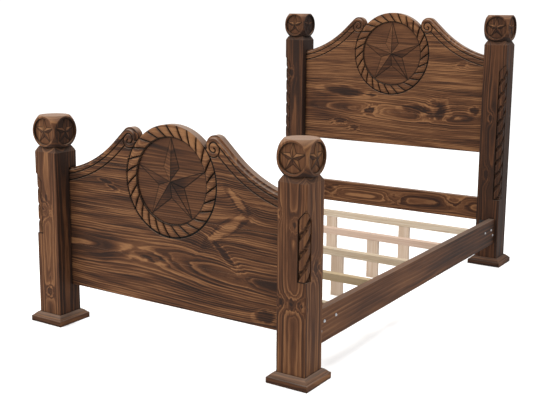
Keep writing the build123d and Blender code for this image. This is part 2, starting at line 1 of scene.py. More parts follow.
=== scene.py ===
# %% [markdown]
# # A rustic pine bed, stained and lit
#
# The joiner's solids arrive ready made: posts, boards, rails, slats, plinths and bolts, each at
# its real size. This lesson gives them what a finisher gives the real bed. Every pine piece gets
# its own grain, the carving is darkened with stain and painted shade, and the ropes' strands
# swell between their cuts. Everything is in metres, +Y points from foot to head, and +Z is up.

import math

import bpy
import bmesh
from mathutils import Matrix, Vector


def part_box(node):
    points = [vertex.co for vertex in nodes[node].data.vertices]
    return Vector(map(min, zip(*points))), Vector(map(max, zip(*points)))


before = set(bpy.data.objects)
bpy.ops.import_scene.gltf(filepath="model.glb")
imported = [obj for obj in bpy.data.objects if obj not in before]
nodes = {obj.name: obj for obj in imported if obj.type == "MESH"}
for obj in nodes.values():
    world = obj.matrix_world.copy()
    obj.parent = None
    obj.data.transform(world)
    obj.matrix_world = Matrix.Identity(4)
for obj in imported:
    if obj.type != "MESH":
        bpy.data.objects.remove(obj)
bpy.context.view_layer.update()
scene = bpy.context.scene
print("pieces from the joiner:", len(nodes))

# %% [markdown]
# ## The camera
#
# A bed is usually shown from a corner of its foot end, a little above the height of its boards.
# A long lens keeps the posts nearly parallel. The camera is aimed with three angles: the yaw
# turns it about the vertical, the pitch tips it down, and a very small roll levels it. Building
# its three axes by hand is plain arithmetic and leaves nothing to a tracking constraint. A small
# shift of the lens moves the whole picture up without tipping the posts.

# %% Camera
camera_place = Vector((2.589, -4.266, 1.519))
camera_yaw = math.radians(-33.33)
camera_pitch = math.radians(10.0)
camera_roll = math.radians(0.41)
image_width, image_height = 533, 400
focal_pixels = 917.9
lens_row = 175                   # the picture row that the lens looks at squarely
sensor_width = 36.0


def aim_camera():
    """The camera with its axes worked out from yaw, pitch and roll."""
    level = math.cos(camera_pitch)
    forward = Vector(
        (
            math.sin(camera_yaw) * level,
            math.cos(camera_yaw) * level,
            -math.sin(camera_pitch),
        )
    )
    right = Vector((math.cos(camera_yaw), -math.sin(camera_yaw), 0))
    up = right.cross(forward)
    tilted_right = right * math.cos(camera_roll) + up * math.sin(camera_roll)
    tilted_up = up * math.cos(camera_roll) - right * math.sin(camera_roll)
    lens = bpy.data.cameras.new("camera")
    lens.sensor_width = sensor_width
    lens.lens = focal_pixels / image_width * sensor_width
    lens.shift_y = (lens_row - image_height / 2) / image_width
    camera = bpy.data.objects.new("camera", lens)
    axes = Matrix((tilted_right, tilted_up, -forward)).transposed()
    camera.matrix_world = Matrix.Translation(camera_place) @ axes.to_4x4()
    scene.collection.objects.link(camera)
    scene.camera = camera
    return camera


camera = aim_camera()
print("lens, mm:", round(camera.data.lens, 1))

# %% [markdown]
# ## The room
#
# The bed stands on a plain pale floor with nothing else in the room. The floor is a grid that
# is far larger than the view, so its edge never shows. Its finish is a matt, almost white paint
# with a very faint mottle, because a perfectly even plane looks like paper. It glows faintly,
# like a light table, so the shadows on it all but vanish.

# %% Floor
floor_reach = 30.0               # half the floor's side
mottle_scale = 3.0
mottle_tones = (0.92, 0.97)
floor_glow = 0.10


def node_material(name):
    """A new material with its node tree and its main shader."""
    material = bpy.data.materials.new(name)
    material.use_nodes = True
    tree = material.node_tree
    return material, tree, tree.nodes["Principled BSDF"]


def floor_paint():
    """Matt white paint, mottled between two pale tones."""
    material, tree, shader = node_material("floor_paint")
    mottle = tree.nodes.new("ShaderNodeTexNoise")
    mottle.inputs["Scale"].default_value = mottle_scale
    tones = tree.nodes.new("ShaderNodeValToRGB")
    for element, tone in zip(tones.color_ramp.elements, mottle_tones):
        element.color = (tone, tone, tone, 1)
    tree.links.new(mottle.outputs["Fac"], tones.inputs["Fac"])
    tree.links.new(tones.outputs["Color"], shader.inputs["Base Color"])
    shader.inputs["Roughness"].default_value = 0.9
    shader.inputs["Emission Color"].default_value = (1, 1, 1, 1)
    shader.inputs["Emission Strength"].default_value = floor_glow
    return material


def lay_floor():
    """A flat grid under the bed."""
    mesh = bpy.data.meshes.new("floor")
    shape = bmesh.new()
    bmesh.ops.create_grid(shape, x_segments=4, y_segments=4, size=floor_reach)
    shape.to_mesh(mesh)
    shape.free()
    mesh.materials.append(floor_paint())
    piece = bpy.data.objects.new("floor", mesh)
    scene.collection.objects.link(piece)
    return piece


floor = lay_floor()
print("floor, metres across:", round(floor.dimensions.x, 1))

# %% [markdown]
# ## The lights
#
# A shop shows furniture in soft, even light, so the shadows have no hard edges. The room is a
# white tent that lights the bed from every side. One large lamp high in front to the left gives
# the carving its shadows, and one overhead brightens the tops of the caps and scrolls. The
# standard view keeps the stain's colours as they are.

# %% Lights
aim_point = Vector((0.0, 0.0, 0.6))
tent_strength = 1.08


def soft_lamp(name, place, size, power):
    """A square area lamp that faces the middle of the bed."""
    light = bpy.data.lights.new(name, "AREA")
    light.shape = "SQUARE"
    light.size = size
    light.energy = power
    lamp = bpy.data.objects.new(name, light)
    lamp.location = place
    lamp.rotation_euler = (aim_point - Vector(place)).to_track_quat("-Z", "Y").to_euler()
    scene.collection.objects.link(lamp)
    return lamp


def white_tent():
    """An even white world all round the bed."""
    room = bpy.data.worlds.new("room")
    room.use_nodes = True
    cloth = room.node_tree.nodes["Background"]
    cloth.inputs["Color"].default_value = (1.0, 1.0, 1.0, 1)
    cloth.inputs["Strength"].default_value = tent_strength
    return room


soft_lamp("key_lamp", place=(-3.0, -4.5, 4.5), size=3.5, power=260)
soft_lamp("top_lamp", place=(0.5, 0.5, 5.0), size=3.0, power=200)
scene.world = white_tent()
scene.view_settings.view_transform = "Standard"

# %% [markdown]
# ## How pine gets its figure
#
# A plank is a slice of a round trunk, so its figure is a slice of the trunk's year rings. That
# is how it is made here too: the material measures each point's distance from the middle of a
# wavy trunk, and every few millimetres a ring goes from pale early wood to dark late wood.
# Because the trunk wavers along its length, a flat slice shows long arches, and a slice close
# to the trunk's middle shows straight lines. A knot is a branch: the rings bend round it.
# Solid rings carry on round every edge and into every cut of the carving, which a flat print of
# wood can't do. Such a material takes many small sums, so a helper adds and joins the nodes.

# %% Wiring helper


class Wiring:
    """Adds nodes to one tree and joins them, so a recipe reads from top to bottom."""

    def __init__(self, tree):
        self.tree = tree

    def add(self, kind, inputs=None, **settings):
        """A node with its settings, each input joined to a socket or set to a value."""
        node = self.tree.nodes.new(kind)
        for name, value in settings.items():
            setattr(node, name, value)
        for key, value in (inputs or {}).items():
            if isinstance(value, bpy.types.NodeSocket):
                self.tree.links.new(value, node.inputs[key])
            else:
                node.inputs[key].default_value = value
        return node

    def math(self, operation, first, second=0.0):
        """One sum of two numbers."""
        return self.add("ShaderNodeMath", {0: first, 1: second}, operation=operation).outputs[0]

    def total(self, first, *others):
        """All the numbers added up."""
        for other in others:
            first = self.math("ADD", first, other)
        return first

    def product(self, first, *others):
        """All the numbers multiplied."""
        for other in others:
            first = self.math("MULTIPLY", first, other)
        return first

    def largest(self, first, *others):
        """The largest of the numbers."""
        for other in others:
            first = self.math("MAXIMUM", first, other)
        return first

    def gap(self, first, second):
        """How far two numbers lie apart."""
        return self.math("ABSOLUTE", self.math("SUBTRACT", first, second))

    def vector(self, operation, first, second):
        """One sum of two vectors."""
        node = self.add("ShaderNodeVectorMath", {0: first, 1: second}, operation=operation)
        return node.outputs["Value" if operation in ("LENGTH", "DOT_PRODUCT") else "Vector"]

    def noise(self, vector, scale, detail=2.0, roughness=0.5):
        """Cloudy noise round one half."""
        inputs = {"Vector": vector, "Scale": scale, "Detail": detail, "Roughness": roughness}
        return self.add("ShaderNodeTexNoise", inputs)

    def spread(self, value, low, high, to_low=0.0, to_high=1.0):
        """The value's way from low to high, clamped and laid on another range."""
        inputs = {
            "Value": value,
            "From Min": low,
            "From Max": high,
            "To Min": to_low,
            "To Max": to_high,
        }
        return self.add("ShaderNodeMapRange", inputs).outputs["Result"]

    def ramp(self, value, stops):
        """A colour between the stops, given as (place, colour)."""
        node = self.add("ShaderNodeValToRGB", {"Fac": value})
        elements = node.color_ramp.elements
        while len(elements) < len(stops):
            elements.new(0.5)
        for element, (place, colour) in zip(elements, stops):
            element.position = place
            element.color = (*colour, 1)
        return node.outputs["Color"]

    def mix(self, factor, first, second):
        """One colour laid over another."""
        # a mix node keeps its colour sockets behind those for numbers and vectors
        node = self.add("ShaderNodeMix", {0: factor, 6: first, 7: second}, data_type="RGBA")
        return node.outputs[2]

    def set_results(self, results):
        """Joins a group's results to its output."""
        output = self.add("NodeGroupOutput")
        for name, value in results.items():
            self.tree.links.new(value, output.inputs[name])


print("wiring helper ready:", Wiring.__name__)

# %% [markdown]
# ### Groups of nodes
#
# The same figure is needed in every pine piece. A node group is drawn once and used many times,
# like a template on the bench. Its sockets take a place and a few sizes, and give numbers back.

# %% Group helpers


def new_group(name, inputs, outputs):
    """An empty node group with its sockets, and its wiring."""
    group = bpy.data.node_groups.new(name, "ShaderNodeTree")
    for socket, kind in inputs.items():
        group.interface.new_socket(socket, in_out="INPUT", socket_type=f"NodeSocket{kind}")
    for socket in outputs:
        group.interface.new_socket(socket, in_out="OUTPUT", socket_type="NodeSocketFloat")
    wire = Wiring(group)
    return group, wire, wire.add("NodeGroupInput").outputs


def use_group(wire, group, inputs):
    """Adds a node group and joins its inputs by their names."""
    return wire.add("ShaderNodeGroup", inputs, node_tree=group).outputs


print("a group's sockets take: Float or Vector")

# %% [markdown]
# ### The knot
#
# Seen on a plank's face a knot is a dark oval a few centimetres long, often slanted, with a pale
# rim. The long fibres flow round it like water round a stone. The group turns a place into the
# knot's own measure, in which the rim lies about one unit from its middle, and gives three numbers:
# how far the rings are pushed away, how dark the heart is and how pale the rim is.

# %% Knot group
knot_wobble = 0.3                # how far the oval is out of true
knot_pull = -0.45                # how quickly the rings straighten outside the knot
heart_edge = (0.95, 0.60)
rim_band = (0.85, 1.35)


def knot_group():
    """The push, the heart and the rim of one knot."""
    sockets = {"Vector": "Vector", "Centre": "Vector", "Spin": "Vector", "Reach": "Vector"}
    group, wire, given = new_group("knot", sockets, ["Push", "Heart", "Rim"])
    inputs = {
        "Vector": given["Vector"],
        "Location": given["Centre"],
        "Rotation": given["Spin"],
        "Scale": given["Reach"],
    }
    own_place = wire.add("ShaderNodeMapping", inputs, vector_type="TEXTURE").outputs["Vector"]
    wobble = wire.noise(own_place, 1.3).outputs["Fac"]
    wobble = wire.spread(wobble, 0.25, 0.75, -knot_wobble, knot_wobble)
    distance = wire.total(wire.vector("LENGTH", own_place, own_place), wobble)
    bell = wire.product(wire.math("POWER", distance, 2.0), knot_pull)
    rim = wire.math("ABSOLUTE", wire.spread(distance, *rim_band, -1.0, 1.0))
    results = {
        "Push": wire.math("EXPONENT", bell),
        "Heart": wire.spread(distance, *heart_edge),
        "Rim": wire.math("SUBTRACT", 1.0, rim),
    }
    wire.set_results(results)
    return group


knot = knot_group()
print("knot group nodes:", len(knot.nodes))

# %% [markdown]
# ### The trunk
#
# The trunk group works out the figure itself. Its input is a place in the trunk: X runs up the
# tree. The rings' distance is bent twice, once in long waves that make the arches and once in
# short ripples. Streaks follow the rings but fade in and out along the tree, because wet years
# and dry years differ and the stain doesn't take evenly. The fibre is far finer across the
# grain than along it.

# %% Trunk group
long_waves = (0.9, 2.2, 2.2)     # waves in a metre, along the trunk and across it
short_waves = (5.0, 24.0, 24.0)
fibre_waves = (14.0, 420.0, 420.0)
ripple_reach = 0.008
late_power = 2.6                 # the higher, the thinner the line of late wood
late_end = 0.86                  # where in a ring the late wood breaks off
streak_waves = 2.2
cloud_waves = 2.0
rings_in_cloud = 0.22


def wave(wire, place, waves, detail):
    """A sideways shift that follows cloudy noise round zero."""
    stretched = wire.vector("MULTIPLY", place, waves)
    cloudy = wire.noise(stretched, 1.0, detail).outputs["Color"]
    return wire.vector("SUBTRACT", cloudy, (0.5, 0.5, 0.5))


def trunk_group():
    """The late wood, streaks, clouds and fibre at a place in the trunk."""
    sockets = {"Vector": "Vector", "Ring": "Float", "Wander": "Float", "Push": "Float"}
    results = ["Late wood", "Streak", "Cloud", "Fibre"]
    group, wire, given = new_group("trunk", sockets, results)
    place = given["Vector"]
    sideways = {"Y": given["Wander"], "Z": given["Wander"]}
    sideways = wire.add("ShaderNodeCombineXYZ", sideways).outputs["Vector"]
    wander = wire.vector("MULTIPLY", wave(wire, place, long_waves, 1.0), sideways)
    ripple = wave(wire, place, short_waves, 2.0)
    ripple = wire.vector("MULTIPLY", ripple, (0.0, ripple_reach, ripple_reach))
    bent = wire.vector("ADD", wire.vector("ADD", place, wander), ripple)
    across = wire.vector("MULTIPLY", bent, (0.0, 1.0, 1.0))
    radius = wire.vector("LENGTH", across, across)
    rings = wire.total(wire.math("DIVIDE", radius, given["Ring"]), given["Push"])
    within = wire.math("FRACT", rings)
    rise = wire.math("POWER", within, late_power)

    up_the_tree = wire.add("ShaderNodeSeparateXYZ", {"Vector": place}).outputs["X"]
    streak_place = {"X": wire.product(up_the_tree, streak_waves), "Y": rings}
    streak_place = wire.add("ShaderNodeCombineXYZ", streak_place).outputs["Vector"]
    slow_rings = wire.product(rings, rings_in_cloud)
    cloud_place = {"X": wire.product(up_the_tree, cloud_waves), "Y": slow_rings}
    cloud_place = wire.add("ShaderNodeCombineXYZ", cloud_place).outputs["Vector"]
    fibre_place = wire.vector("MULTIPLY", place, fibre_waves)
    results = {
        "Late wood": wire.product(rise, wire.spread(within, 1.0, late_end)),
        "Streak": wire.noise(streak_place, 1.0, 3.0, 0.6).outputs["Fac"],
        "Cloud": wire.noise(cloud_place, 1.0).outputs["Fac"],
        "Fibre": wire.noise(fibre_place, 1.0, 2.0, 0.6).outputs["Fac"],
    }
    wire.set_results(results)
    return group


trunk = trunk_group()
print("trunk group nodes:", len(trunk.nodes))

# %% [markdown]
# ### The carver's star
#
# Each star has ten straight edges, five ridges from its middle to the points and five valleys
# to the inner corners. Folding the disc five times and then in half lays them all on one small
# wedge, so the distance to the nearest line is three short sums. A dark line is painted along it,
# for the stain in the cut and the shade inside it.

# %% Star group
half_wedge = math.radians(36)    # half of a fifth of the disc
half_point = math.radians(18)    # half the angle of a star's point
inner_corner = math.sin(half_point) / math.sin(half_point + half_wedge)


def star_group():
    """Distances to a star's nearest line and into its body, and the distance from its middle."""
    sockets = {"Across": "Float", "Up": "Float", "Reach": "Float"}
    group, wire, given = new_group("carved_star", sockets, ["Line", "Raised", "Radius"])
    angle = wire.math("ARCTAN2", given["Across"], given["Up"])
    inputs = {0: angle, 1: half_wedge, 2: -half_wedge}
    wrapped = wire.add("ShaderNodeMath", inputs, operation="WRAP").outputs[0]
    folded = wire.math("ABSOLUTE", wrapped)
    across_square = wire.product(given["Across"], given["Across"])
    up_square = wire.product(given["Up"], given["Up"])
    radius = wire.math("SQRT", wire.total(across_square, up_square))
    sideways = wire.product(radius, wire.math("SINE", folded))
    outward = wire.product(radius, wire.math("COSINE", folded))
    to_tip = wire.math("SUBTRACT", given["Reach"], outward)
    inside = wire.product(to_tip, math.sin(half_point))
    inside = wire.math("SUBTRACT", inside, wire.product(sideways, math.cos(half_point)))
    to_valley = wire.math("SUBTRACT", half_wedge, folded)
    valley = wire.product(radius, wire.math("SINE", to_valley))
    corner = wire.product(given["Reach"], inner_corner)
    valley = wire.math("MAXIMUM", valley, wire.math("SUBTRACT", radius, corner))
    ridge_or_valley = wire.math("MINIMUM", sideways, valley)
    line = wire.math("MINIMUM", wire.math("ABSOLUTE", inside), ridge_or_valley)
    wire.set_results({"Line": line, "Raised": inside, "Radius": radius})
    return group


carved_star = star_group()
print("star group nodes:", len(carved_star.nodes))

# %% [markdown]
# ### The rope ring
#
# The ring's strands are parted by straight cuts that lean across it. Where a cut crosses a
# circle of some radius follows from the triangle between the ring's middle, the cut and that
# circle. Taking this angle off a point's own angle lays all the cuts on even spokes. Between two
# spokes the strand swells like a pillow.

# %% Rope ring group
ring_outer = 0.257
ring_inner = 0.200
ring_strands = 27
ring_lean = math.radians(40)
ring_middle = (ring_outer + ring_inner) / 2


def rope_ring_group():
    """How far a point lies from the nearest cut, and how high the strand swells there."""
    sockets = {"Across": "Float", "Up": "Float", "Radius": "Float"}
    group, wire, given = new_group("rope_ring", sockets, ["Cut", "Swell"])
    along = ring_middle * math.cos(ring_lean)
    aside = ring_middle * math.sin(ring_lean)
    square = wire.product(given["Radius"], given["Radius"])
    square = wire.math("MAXIMUM", wire.math("SUBTRACT", square, aside * aside), 0.0)
    run = wire.math("SUBTRACT", wire.math("SQRT", square), along)
    run_across = wire.product(run, math.sin(ring_lean))
    run_out = wire.total(wire.product(run, math.cos(ring_lean)), ring_middle)
    skew = wire.math("ARCTAN2", run_across, run_out)
    angle = wire.math("ARCTAN2", wire.product(given["Across"], -1.0), given["Up"])
    spokes = wire.math("SUBTRACT", angle, skew)
    spokes = wire.product(spokes, ring_strands / (2 * math.pi))
    off_spoke = wire.gap(spokes, wire.math("ROUND", spokes))
    arc = wire.product(off_spoke, 2 * math.pi / ring_strands * math.cos(ring_lean))
    hollow = wire.math("SUBTRACT", 1.0, wire.product(off_spoke, 2.0))
    swell = wire.math("SUBTRACT", 1.0, wire.math("POWER", hollow, 2.0))
    wire.set_results({"Cut": wire.product(arc, given["Radius"]), "Swell": swell})
    return group


rope_ring = rope_ring_group()
print("rope ring group nodes:", len(rope_ring.nodes))

# %% [markdown]
# ## The stain
#
# The bed is stained a dark, warm brown. The stain sinks deep into soft early wood and lies thin
# on hard late wood, which stays a thin golden line. The carver's cuts are painted almost black,
# both for the stain that runs into them and for the shade inside them. Worn edges show lighter,
# and upward faces are a little bleached and grey, with a painted top light and sheen. So one
# number per point, how light the wood is, is enough to choose the stain's tone.

# %% Stain tones
golden_tone = (0.185, 0.088, 0.038)
warm_tone = (0.090, 0.038, 0.017)
brown_tone = (0.048, 0.020, 0.010)
dark_tone = (0.019, 0.010, 0.007)
# black for the cuts: the stain in them and the painted shade inside them
black_tone = (0.004, 0.003, 0.002)
worn_tone = (0.210, 0.125, 0.075)
# pale grey of upward faces: bleached stain and a painted top light and sheen
bleached_sheen_tone = (0.205, 0.145, 0.110)
stain_stops = [(0.0, dark_tone), (0.30, brown_tone), (0.60, warm_tone), (1.0, golden_tone)]
middle_light = 0.42              # the light that contrast and calm draw towards
print("stain tones from dark to light:", len(stain_stops))

# %% [markdown]
# ### Each piece's place in the trunk
#
# Two planks with the same figure look like wallpaper. So each piece is turned until its grain
# runs along the trunk and then moved to a place of its own in it. The trunk's X axis runs along
# the grain, and the trunk's middle lies on Y and Z of zero.

# %% Place in the trunk
grain_turns = {
    "x": (0.0, 0.0, 0.0),
    "y": (0.0, 0.0, math.radians(-90)),
    "z": (0.0, math.radians(90), 0.0),
}


def trunk_place(wire, along, place):
    """A point's own place, and the same turned and moved into the trunk."""
    here = wire.add("ShaderNodeTexCoord").outputs["Object"]
    inputs = {"Vector": here, "Rotation": grain_turns[along], "Location": place}
    return here, wire.add("ShaderNodeMapping", inputs).outputs["Vector"]


def parts_of(wire, vector):
    """A vector's X, Y and Z."""
    return wire.add("ShaderNodeSeparateXYZ", {"Vector": vector}).outputs


print("ways that grain can run:", ", ".join(grain_turns))

# %% [markdown]
# ### How light the wood is
#
# Late wood is light, early wood dark. Streaks, clouds and fibre change that a little, a knot's
# rim lightens it and its heart darkens it. Contrast draws everything towards a middle tone, so
# the same recipe gives a lively board and a quiet rail.

# %% Light and dark wood
late_light = 0.64
early_light = 0.29
streak_light = 0.36
cloud_light = (0.16, -0.26)
fibre_light = 0.14
rim_light = 0.30
heart_dark = 0.55


def add_knots(wire, here, knots):
    """Push, hearts and rims of knots given as (middle, reach, spin, push, darkness).

    A negative darkness makes a pale heart with a dark rim."""
    push, heart, rim = 0.0, 0.0, 0.0
    for middle, reach, spin, shove, darkness in knots:
        inputs = {"Vector": here, "Centre": middle, "Reach": reach, "Spin": spin}
        node = use_group(wire, knot, inputs)
        push = wire.total(wire.product(node["Push"], shove), push)
        heart = wire.total(wire.product(node["Heart"], darkness), heart)
        rim = wire.total(wire.product(node["Rim"], darkness), rim)
    return push, heart, rim


def wood_light(wire, here, trunk_point, ring, wander, knots, contrast=1.0):
    """How light the wood is, from about 0 to 1, with its late wood and fibre for the relief."""
    push, heart, rim = add_knots(wire, here, knots)
    inputs = {"Vector": trunk_point, "Ring": ring, "Wander": wander, "Push": push}
    grain = use_group(wire, trunk, inputs)
    light = wire.total(
        wire.product(grain["Late wood"], late_light),
        early_light,
        wire.spread(grain["Streak"], 0.3, 0.7, -streak_light, streak_light),
        wire.spread(grain["Cloud"], 0.35, 0.7, *cloud_light),
        wire.spread(grain["Fibre"], 0.25, 0.75, -fibre_light, fibre_light),
    )
    light = wire.total(wire.product(light, contrast), middle_light * (1 - contrast))
    light = wire.total(light, wire.product(rim, rim_light))
    light = wire.math("SUBTRACT", light, wire.product(heart, heart_dark))
    return light, grain["Late wood"], grain["Fibre"]


print("knots are given by five values: middle, reach, spin, push, darkness")

# %% [markdown]
# ### Wear, cuts and relief
#
# Two nodes of the renderer find places that a finisher knows by hand. An occlusion node looks
# at how much of the sky each point sees, so it finds the cuts, which are painted dark for the
# stain that gathers there and for the shade inside them. A bevel node rounds the normal at sharp
# edges, and where the rounded normal leaves the true one, the edge is worn. The same rounded
# normal takes the bump, so no edge looks as sharp as glass.

# %% Wear, cuts and relief
worn_radius = 0.0025
cut_reach = 0.018
grain_relief = 0.00022           # soft early wood lies this far below late wood


def bleach_and_top_sheen(wire, colour, facing, fibre, bleach_and_sheen):
    """Pale, greyish wood on faces that look up: bleached stain with a painted top light and sheen."""
    # upward faces get bleached stain and a painted top light and sheen
    upward = wire.spread(facing["Z"], 0.45, 0.95, 0.0, bleach_and_sheen)
    upward = wire.product(upward, wire.spread(fibre, 0.3, 0.7, 0.6, 1.0))
    return wire.mix(upward, colour, (*bleached_sheen_tone, 1))


def wear(wire, colour, rounded, true_normal, cut, fibre):
    """Bare wood along sharp edges, but not along a cut's."""
    turn = wire.vector("DOT_PRODUCT", rounded, true_normal)
    edge = wire.spread(turn, 0.97, 0.75)
    in_the_open = wire.spread(cut, 0.3, 0.0)
    bare = wire.product(edge, in_the_open, wire.spread(fibre, 0.3, 0.7, 0.2, 0.7))
    return wire.mix(bare, colour, (*worn_tone, 1))


def deep_cut(wire):
    """How deep in a cut a point lies, from 0 to 1."""
    inputs = {"Distance": cut_reach}
    opening = wire.add("ShaderNodeAmbientOcclusion", inputs, samples=12).outputs["AO"]
    return wire.spread(opening, 0.82, 0.45)


def set_relief(wire, shader, height, rounded):
    """A bump whose height is given in metres."""
    inputs = {"Height": height, "Normal": rounded, "Strength": 1.0, "Distance": 1.0}
    bump = wire.add("ShaderNodeBump", inputs)
    wire.tree.links.new(bump.outputs["Normal"], shader.inputs["Normal"])


print("edges are worn over, mm:", worn_radius * 1000)

# %% [markdown]
# ### Stained pine
#
# One recipe makes every stained piece. It finds the wood's light, lets the piece's carving
# change it, partly with painted light and shade, picks the stain's tone, bleaches it with a
# painted top sheen, wears it, darkens its cuts with stain and painted shade, and adds the relief.
# The finish is thin and oiled, so it is almost matt and hardly shines.

# %% Stained pine
stain_gloss = 0.07
stain_roughness = (0.58, 0.74)


def stained_pine(
    name,
    along,
    place,
    ring=0.009,
    wander=0.05,
    knots=(),
    lift=0.0,
    contrast=1.0,
    cut_stain_and_shade=0.9,
    bleach_and_sheen=0.75,
    carving=None,
):
    """Stained pine with its grain along x, y or z.

    Lift makes the piece lighter. Two more settings say how dark its deepest cuts get, with stain
    and painted shade, and how pale and grey its upward faces are, bleached and with a painted top
    sheen."""
    material, tree, shader = node_material(name)
    wire = Wiring(tree)
    here, trunk_point = trunk_place(wire, along, place)
    light, late, fibre = wood_light(wire, here, trunk_point, ring, wander, knots, contrast)
    light = wire.total(light, lift)
    true_normal = wire.add("ShaderNodeNewGeometry").outputs["True Normal"]
    facing = parts_of(wire, true_normal)
    line, carved_height = 0.0, 0.0
    if carving:
        light, line, carved_height = carving(wire, here, facing, light)
    rounded = wire.add("ShaderNodeBevel", {"Radius": worn_radius}, samples=4).outputs["Normal"]
    cut = deep_cut(wire)
    colour = wire.ramp(light, stain_stops)
    # bleached stain and a painted top sheen on upward faces
    colour = bleach_and_top_sheen(wire, colour, facing, fibre, bleach_and_sheen)
    colour = wear(wire, colour, rounded, true_normal, cut, fibre)
    # cuts and carved lines are mixed towards black: the stain in them and painted shade
    stain_and_shade_dark = wire.math("MAXIMUM", wire.product(cut, cut_stain_and_shade), line)
    colour = wire.mix(stain_and_shade_dark, colour, (*black_tone, 1))
    tree.links.new(colour, shader.inputs["Base Color"])
    felt = wire.product(wire.total(late, fibre), grain_relief)
    set_relief(wire, shader, wire.total(felt, carved_height), rounded)
    roughness = wire.spread(fibre, 0.2, 0.8, *stain_roughness)
    tree.links.new(roughness, shader.inputs["Roughness"])
    shader.inputs["Specular IOR Level"].default_value = stain_gloss
    return material


def dress(node, material):
    """One of the joiner's pieces gets its finish."""
    piece = nodes[node]
    piece.data.materials.clear()
    piece.data.materials.append(material)


print("the stain's tone is chosen from", len(stain_stops), "stops")

# %% [markdown]
# ## Where stain and painted shade mark the carving
#
# The carver's cuts are only a few millimetres wide, and the stain and the shade in them are what
# the eye sees first. Three recipes say where the dark lines run: on a carved board, on a cap's
# four star discs, and on the rope in a post's corner. The lines are painted for both the stain in
# the cuts and the shade inside them. Each recipe works from the carver's own sizes, changes how
# light the wood is, partly with painted light and shade, and gives the line's darkness and a
# height in metres for the relief.
#
# On a board the middle of the medallion was cut across the grain, so the grain is calmer there.
# The star's lines are darkest where its faces fall away from the light. Its facets get painted
# light and shade by the way they face, and painted shade near the middle where they face away.

# %% The medallion's star
below_medallion = 0.583          # from its middle down to the board's lower edge
medallion_height = {
    "foot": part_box("footboard_plank_1")[0][2] + below_medallion,
    "head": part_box("headboard_plank_1")[0][2] + below_medallion,
}
crisp = 0.001                    # over this distance a mark fades out
star_line_fade = (0.0038, 0.0014)  # a line is gone at the first distance, full at the second
star_line_dark = (0.40, 1.0)     # on faces that look at the light, and away from it
facet_shade = 0.45
middle_shade = {"foot": 0.30, "head": 0.14}


def star_marks(wire, star, in_disc, facing, end):
    """The star's lines, and the painted light and shade of its facets."""
    shade = wire.math("SUBTRACT", facing["Z"], facing["X"])
    # the lines are painted darker where the facets face away from the light
    depth = wire.spread(shade, 0.10, -0.10, *star_line_dark)
    line = wire.product(wire.spread(star["Line"], *star_line_fade), in_disc, depth)
    away = wire.spread(shade, 0.0, -0.05)
    near_middle = wire.spread(star["Radius"], 0.105, 0.050, 0.0, middle_shade[end])
    # painted light and shade on the facets, and painted shade near the middle of those facing away
    tone = wire.product(shade, facet_shade)
    tone = wire.math("SUBTRACT", tone, wire.product(away, near_middle))
    on_star = wire.spread(star["Raised"], -crisp, crisp)
    return line, wire.product(tone, on_star, in_disc)


for end, height in medallion_height.items():
    print(end, "medallion's middle above the floor, mm:", round(height * 1000))

# %% [markdown]
# ### The ring's strands
#
# A rope catches the light on top of every strand, so the strands get a painted highlight where
# they swell, and the whole ring gets lighter at its top. Its lower right gets painted shade. The
# line round the ring grows wider towards its lower right, where it paints the shadow of the
# ring's wall along with the stain in the groove, and leaves out the top, where the ring is the
# board's own edge.

# %% The medallion's ring
strand_line_fade = (0.0044, 0.0014)
strand_line_dark = 0.9
rim_half_width = (0.0010, 0.0042)
rim_fade = 0.0020
disc_line_fade = (0.0055, 0.0025)
disc_line_dark = 0.85
strand_highlight = {"foot": 0.32, "head": 0.18}
top_light = {"foot": 0.26, "head": 0.06}
lower_right_shade = -0.14
strand_swell = 0.0060


def ring_marks(wire, across, up, radius, in_ring, end):
    """The lines round and between the strands, the strands' tone with a painted highlight and painted
    shade, and their swell.
    """
    ring = use_group(wire, rope_ring, {"Across": across, "Up": up, "Radius": radius})
    strand_line = wire.spread(ring["Cut"], *strand_line_fade, 0.0, strand_line_dark)
    lower_right = wire.math("SUBTRACT", across, wire.product(up, 0.3))
    lower_right = wire.math("DIVIDE", lower_right, radius)
    # the rim line widens to the lower right as a painted shadow of the ring's wall
    half_width = wire.spread(lower_right, -1.0, 1.0, *rim_half_width)
    off_rim = wire.gap(radius, ring_outer + crisp)
    rim_line = wire.spread(off_rim, wire.total(half_width, rim_fade), half_width)
    rim_line = wire.product(rim_line, wire.spread(up, 0.20, 0.17))
    off_disc = wire.gap(radius, ring_inner + crisp)
    disc_line = wire.spread(off_disc, *disc_line_fade, 0.0, disc_line_dark)
    line = wire.largest(wire.product(strand_line, in_ring), rim_line, disc_line)
    # painted highlight where a strand swells, lighter at the top, painted shade to the lower right
    tone = wire.total(
        wire.spread(ring["Swell"], 0.1, 0.9, 0.0, strand_highlight[end]),
        wire.spread(up, 0.08, 0.22, 0.0, top_light[end]),
        wire.spread(lower_right, 0.3, 1.0, 0.0, lower_right_shade),
    )
    swell = wire.product(ring["Swell"], in_ring, strand_swell)
    return line, wire.product(tone, in_ring), swell


print("strands round the ring:", ring_strands)

# %% [markdown]
# ### The whole medallion
#
# Now both are put together. Only the face that looks to the foot is carved, so everything fades
# out where the normal turns away from it. The back of the board stays plain.

# %% Marks on the boards
disc_calm = 0.45
ring_calm = 0.35
field_dark = -0.03


